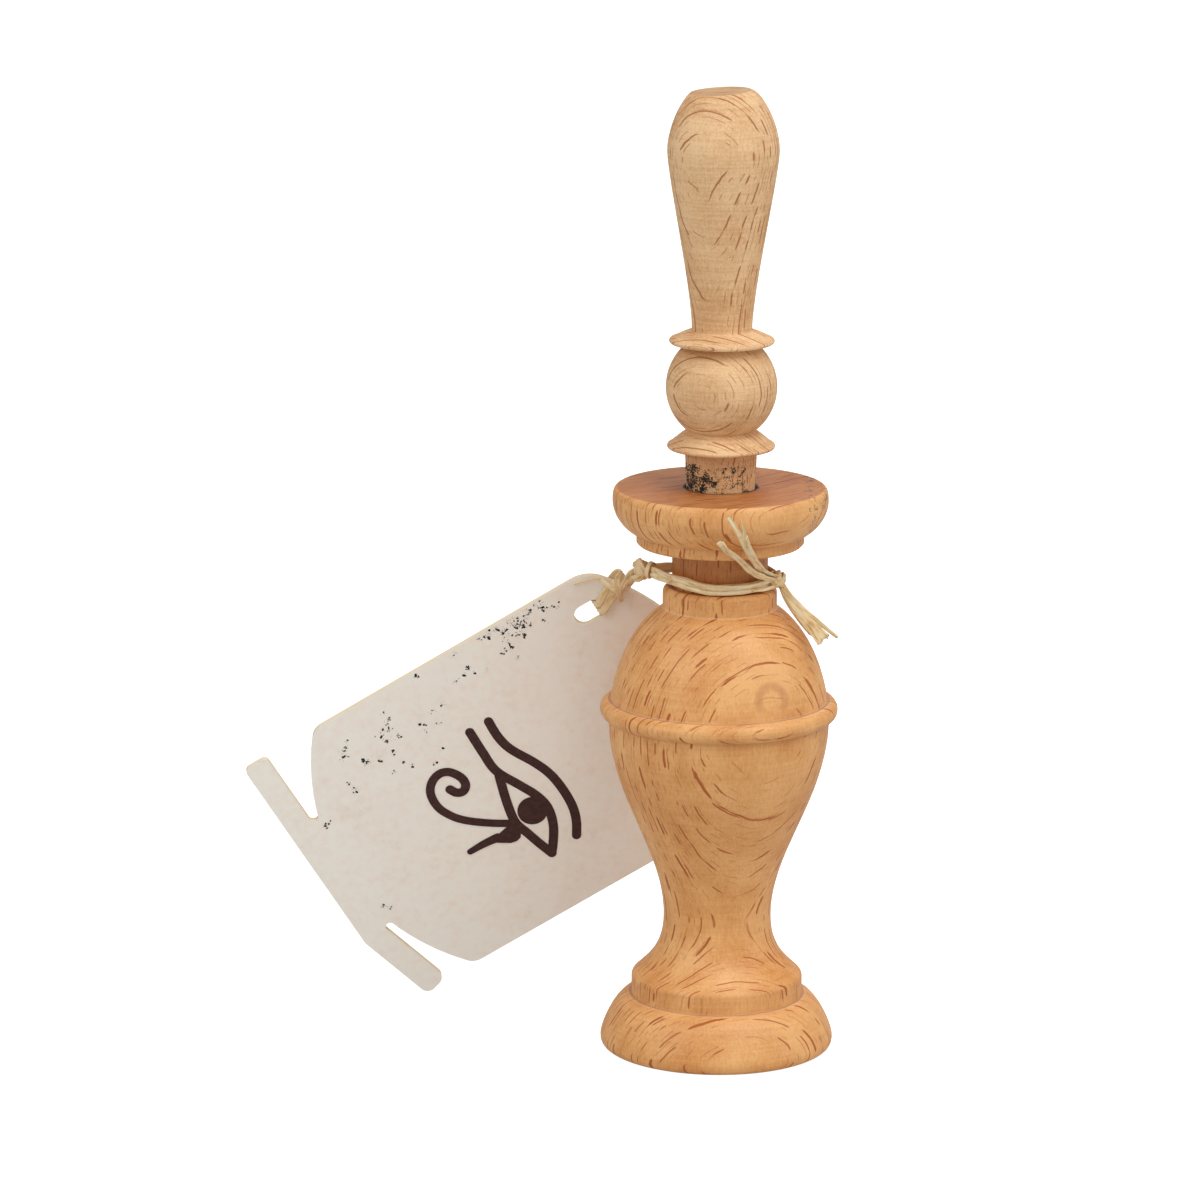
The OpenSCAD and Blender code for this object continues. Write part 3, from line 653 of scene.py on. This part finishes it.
        # a few specks on the rim's right side
        right = addNode(tree, "MapRange", {"range": look["rimDust"]["across"]}, {0: x})
        high = addNode(tree, "MapRange", {"range": look["rimDust"]["height"]}, {0: z})
        few = addNode(tree, "Math", {"operation": "MULTIPLY"}, {0: right, 1: high})
        dust = addNode(tree, "Math", {"operation": "MAXIMUM"}, {0: dust, 1: few})
    grains = addNode(tree, "TexNoise", {"Scale": look["kohlPerMm"][0], "Detail": 3.0,
                                        "Roughness": 0.7}, {"Vector": place})
    heaps = addNode(tree, "TexNoise", {"Scale": look["kohlPerMm"][1], "Detail": 1.0},
                    {"Vector": place})
    for pattern, share in zip((dust, heaps), look["kohlShares"]):
        grains = addNode(tree, "Math", {"operation": "MULTIPLY_ADD", 1: share},
                         {0: pattern, 2: grains})
    specks = addNode(tree, "MapRange", {"range": look["kohlEdge"]}, {0: grains})
    coats.append((specks, "MIX", look["kohl"]))

    for share, how, colour in coats:
        wood = addNode(tree, "Mix", {"data_type": "RGBA", "blend_type": how,
                                     7: toLinear(colour)}, {0: share, 6: wood}).outputs[2]
    skin = addNode(tree, "MapRange", {"range": (*look["skin"], look["low"], look["high"])},
                   {0: pores})
    relief = pores
    for pattern, share in ((lathe, look["lathe"] * 6), (nap, look["fuzz"] * 2), (flecks, -0.5)):
        relief = addNode(tree, "Math", {"operation": "MULTIPLY_ADD", 1: share},
                         {0: pattern, 2: relief})
    bump = addNode(tree, "Bump", {"Strength": look["bump"], "Distance": look["bumpDepth"] * mm},
                   {"Height": relief})
    connect(tree, shader, {"Base Color": wood, "Roughness": skin, "Normal": bump})
    return material


def dress(node, material):
    nodes[node].data.materials.clear()
    nodes[node].data.materials.append(material)


dress("vessel", turnedBeech("steamedBeech", vesselLook))
dress("stopper", turnedBeech("bareBeech", stopperLook))
dress("applicator_stick", turnedBeech("dustyBeech", stickLook))
print("beech dressed")

# Thick card of pressed pulp: off-white, very slightly mottled, matt, with a tan cut edge
cardLook = {"light": "#fffaf0", "mid": "#fef5e9", "shade": "#f8eee1", "cut": "#ecdcbf",
            "cloudPerMm": 0.2, "mottlePerMm": 0.9, "feltPerMm": 2.2, "shares": (0.35, 0.65),
            "cutReach": (0.8, 0.4), "bump": 0.3, "bumpDepth": 0.08, "Roughness": 0.9,
            "IOR": 1.5}


def pulpCard(look):
    material, tree, shader = newMaterial("pulpCard", look)
    coords, place = placeInMm(tree)
    cloud = addNode(tree, "TexNoise", {"Scale": look["cloudPerMm"], "Detail": 2.0},
                    {"Vector": place})
    mottle = addNode(tree, "TexNoise", {"Scale": look["mottlePerMm"], "Detail": 4.0,
                                        "Roughness": 0.6}, {"Vector": place})
    tone = addNode(tree, "Math", {"operation": "MULTIPLY", 1: look["shares"][0]}, {0: cloud})
    tone = addNode(tree, "Math", {"operation": "MULTIPLY_ADD", 1: look["shares"][1]},
                   {0: mottle, 2: tone})
    stops = [(0.3, look["shade"]), (0.43, look["mid"]), (0.56, look["light"])]
    face = addNode(tree, "ValToRGB", {"stops": stops}, {0: tone})
    # the cut edge shows the pulp's own tan, away from both pressed faces
    towards = addNode(tree, "VectorMath", {"operation": "DOT_PRODUCT", 1: tuple(tagOut)},
                      {0: coords.outputs["Normal"]}).outputs["Value"]
    edge = addNode(tree, "Math", {"operation": "ABSOLUTE"}, {0: towards})
    edge = addNode(tree, "MapRange", {"range": look["cutReach"]}, {0: edge})
    colour = addNode(tree, "Mix", {"data_type": "RGBA", 7: toLinear(look["cut"])},
                     {0: edge, 6: face}).outputs[2]
    felt = addNode(tree, "TexNoise", {"Scale": look["feltPerMm"], "Detail": 4.0},
                   {"Vector": place})
    bump = addNode(tree, "Bump", {"Strength": look["bump"], "Distance": look["bumpDepth"] * mm},
                   {"Height": felt})
    connect(tree, shader, {"Base Color": colour, "Normal": bump})
    return material


dress("tag", pulpCard(cardLook))


def patchyCoat(name, look):
    # a thin coat of colour that is full in some patches and thin in others
    material, tree, shader = newMaterial(name, look)
    cover = addNode(tree, "TexNoise", {"Scale": look["patchesPerMm"], "Detail": look["detail"]},
                    {"Vector": placeInMm(tree)[1]})
    colour = addNode(tree, "ValToRGB", {"stops": look["stops"]}, {0: cover})
    connect(tree, shader, {"Base Color": colour})
    return material


class PrintMesh(PieceMesh):
    # flat shapes that lie a hair above the card's face, each one risen over the last
    def __init__(self, lift, rise):
        super().__init__()
        self.lift = lift
        self.rise = rise

    def stroke(self, points, width, ends=(1.0, 1.0)):
        route = smoothRoute([(x, y, 0) for x, y in points], 0.3)
        path = [Vector((p.x, p.y)) for p in route]
        count = len(path)
        outline = []
        for side in (1, -1):
            for i in range(count)[::side]:
                along = path[min(i + 1, count - 1)] - path[max(i - 1, 0)]
                along.normalize()
                half = width / 2 * (ends[0] + (ends[1] - ends[0]) * i / (count - 1))
                outline.append((path[i].x - side * along.y * half,
                                path[i].y + side * along.x * half))
        base = len(self.verts)
        self.verts += [onTag(x, y, self.lift) for x, y in outline]
        last = 2 * count - 1
        for i in range(count - 1):
            self.faces.append((base + i, base + last - i, base + last - i - 1, base + i + 1))
        self.lift += self.rise
        for i, ease in ((0, ends[0]), (count - 1, ends[1])):
            self.disc(path[i].x, path[i].y, width / 2 * ease)

    def disc(self, x, y, radius, steps=28):
        self.patch([(x + radius * math.cos(2 * math.pi * k / steps),
                     y + radius * math.sin(2 * math.pi * k / steps)) for k in range(steps)])

    def patch(self, outline):
        base = len(self.verts)
        self.verts += [onTag(x, y, self.lift) for x, y in outline]
        self.faces.append(tuple(range(base, base + len(outline))))
        self.lift += self.rise


# Screen-printed ink: dark brown, thin and slightly uneven, with a dull surface. The old
# figure of the falcon's eye is drawn with one even round-ended line.
inkLook = {"stops": [(0.42, "#3d211e"), (0.7, "#4b2c28")], "patchesPerMm": 1.6, "detail": 4.0,
           "Roughness": 0.75, "IOR": 1.45, "lift": 0.03, "rise": 0.003, "line": 1.3,
           "pupil": (21.3, -22.0, 2.1), "tail": 1.1}
eyeLines = [
    [(6.5, -20.1), (9.2, -20.2), (11.7, -19.7), (15.2, -18.0), (17.8, -17.1), (20.7, -16.8),
     (23.7, -17.0), (25.9, -17.7), (27.8, -18.8)],
    [(6.5, -23.1), (10.0, -23.2), (13.4, -23.1), (17.0, -21.5), (19.2, -20.5), (21.1, -20.0),
     (22.9, -20.1), (24.9, -20.8), (26.7, -21.9), (28.3, -23.1)],
    [(14.2, -23.1), (17.1, -24.0), (19.9, -24.7), (21.8, -24.9), (23.7, -24.4), (26.0, -23.8),
     (28.3, -23.1)]]
eyeCurl = [(21.6, -25.1), (19.9, -27.7), (17.8, -30.3), (16.0, -31.8), (13.8, -32.7),
           (11.5, -32.5), (10.1, -31.4), (9.6, -29.9), (10.1, -28.6), (11.6, -27.7),
           (12.9, -27.7), (13.6, -28.5), (13.3, -29.4), (12.4, -29.9)]
eyeDrop = [(21.5, -24.9), (21.5, -26.4), (21.8, -27.8), (21.7, -29.0), (22.6, -29.0),
           (23.3, -28.0), (23.9, -27.1), (24.1, -26.2), (23.9, -25.5), (23.2, -25.0)]


def printEye(look):
    ink = PrintMesh(look["lift"], look["rise"])
    for points in eyeLines:
        ink.stroke(points, look["line"])
    ink.disc(*look["pupil"], 40)
    ink.stroke(eyeCurl, look["line"], ends=(0.85, 1.0))
    # the drop starts full below the eye and draws out into a tail
    ink.patch(eyeDrop)
    ink.stroke([(22.2, -28.2), (22.0, -30.3), (22.0, -32.5)], look["tail"], ends=(1.2, 0.8))
    return ink.build("eyePrint", "tag", "tag_card", patchyCoat("screenInk", look))


printEye(inkLook)

# Fine black kohl that has been rubbed into the card. Each cluster: across, along, spread
# and number of grains. A grain's size runs from the first value up to both together.
dustLook = {"stops": [(0.35, "#1a191a"), (0.7, "#4a4747")], "patchesPerMm": 2.5, "detail": 2.0,
            "Roughness": 0.95, "IOR": 1.45, "lift": 0.015, "seed": 5, "perHeap": 9,
            "heap": 0.2, "size": (0.03, 0.2), "rareness": 6, "corners": 7, "cornerTurn": 0.9,
            "uneven": (0.5, 1.35), "cardEdge": -5.1, "clusters": [
                (-3.9, -9.1, 0.9, 150), (-4.4, -13.7, 0.7, 50), (-3.2, -11.2, 0.9, 110),
                (-4.0, -4.6, 0.9, 60), (-1.5, -19.3, 0.9, 40), (-4.5, -24.9, 0.25, 16),
                (-4.9, -18.3, 0.3, 10), (-0.1, -32.6, 1.0, 90), (-0.2, -39.2, 0.8, 50),
                (2.6, -37.8, 0.8, 50), (2.5, -32.8, 1.4, 40), (5.3, -41.0, 0.6, 36),
                (7.8, -46.3, 0.5, 20), (-1.2, -13.5, 1.8, 60), (0.5, -26.0, 3.0, 40),
                (6.0, -33.0, 3.5, 30), (22.8, -46.3, 0.5, 22), (-3.7, -7.0, 1.3, 60)]}


def scatterKohl(look):
    rng = random.Random(look["seed"])
    grains = PrintMesh(look["lift"], 0.0)
    for x, y, spread, count in look["clusters"]:
        heaps = [(rng.gauss(x, spread), rng.gauss(y, spread))
                 for _ in range(1 + count // look["perHeap"])]
        for _ in range(count):
            hx, hy = rng.choice(heaps)
            cx, cy = rng.gauss(hx, look["heap"]), rng.gauss(hy, look["heap"])
            if cx < look["cardEdge"]:
                continue
            size = look["size"][0] + look["size"][1] * rng.random() ** look["rareness"]
            reach = [rng.uniform(*look["uneven"]) for _ in range(look["corners"])]
            grains.patch([(cx + size * r * math.cos(look["cornerTurn"] * k),
                           cy + size * r * math.sin(look["cornerTurn"] * k))
                          for k, r in enumerate(reach)])
    return grains.build("kohlSpecks", "tag", "tag_card", patchyCoat("kohlPowder", look))


scatterKohl(dustLook)
print("tag dressed")

# Pale studio: white sweep that keeps the shadow, a large soft lamp high on the right, a fill
# on the left, and weak lamps low on the right and behind. Each lamp: watts, size and place
# in metres. Glow is what the camera alone sees of the sweep's own white.
studioLook = {"floor": "#cbcac8", "half": 4, "drop": 0.0001, "glow": 0.85, "world": 0.36,
              "Roughness": 0.9, "IOR": 1.45, "aim": (0.0, 0.0, 0.06), "lamps": {
                  "keyLamp": (5.2, 0.7, (0.34, -0.42, 0.90)),
                  "fillLamp": (3.5, 0.7, (-0.70, -0.56, 0.70)),
                  "sideLamp": (1.0, 0.5, (0.80, -0.22, 0.35)),
                  "rimLamp": (1.7, 0.5, (0.15, 0.60, 0.80))}}


def layFloor(look):
    half, low = look["half"], -look["drop"]
    mesh = bpy.data.meshes.new("floor")
    mesh.from_pydata([(-half, -half, low), (half, -half, low), (half, half, low),
                      (-half, half, low)], [], [(0, 1, 2, 3)])
    floor = bpy.data.objects.new("floor", mesh)
    bpy.context.scene.collection.objects.link(floor)
    material, tree, shader = newMaterial("paperSweep", look)
    shader.inputs["Base Color"].default_value = toLinear(look["floor"])
    shader.inputs["Emission Color"].default_value = (1, 1, 1, 1)
    path = addNode(tree, "LightPath")
    glow = addNode(tree, "Math", {"operation": "MULTIPLY", 1: look["glow"]},
                   {0: path.outputs["Is Camera Ray"]})
    connect(tree, shader, {"Emission Strength": glow})
    mesh.materials.append(material)


def lightWorld(look):
    world = bpy.data.worlds.new("studio")
    bpy.context.scene.world = world
    world.use_nodes = True
    tree = world.node_tree
    light = tree.nodes["Background"]
    light.inputs["Strength"].default_value = look["world"]
    light.inputs["Color"].default_value = (1, 1, 1, 1)
    seen = addNode(tree, "Background", {"Strength": 1.0, "Color": (1, 1, 1, 1)})
    path = addNode(tree, "LightPath")
    mix = addNode(tree, "MixShader", links={0: path.outputs["Is Camera Ray"], 1: light, 2: seen})
    connect(tree, tree.nodes["World Output"], {"Surface": mix})


def hangLamps(look):
    for name, (power, size, place) in look["lamps"].items():
        data = bpy.data.lights.new(name, "AREA")
        data.energy = power
        data.size = size
        lamp = bpy.data.objects.new(name, data)
        bpy.context.scene.collection.objects.link(lamp)
        lamp.location = place
        aim = Vector(look["aim"]) - Vector(place)
        lamp.rotation_euler = aim.to_track_quat("-Z", "Y").to_euler()


layFloor(studioLook)
lightWorld(studioLook)
hangLamps(studioLook)
bpy.context.scene.view_settings.view_transform = "Standard"
print("studio lit")
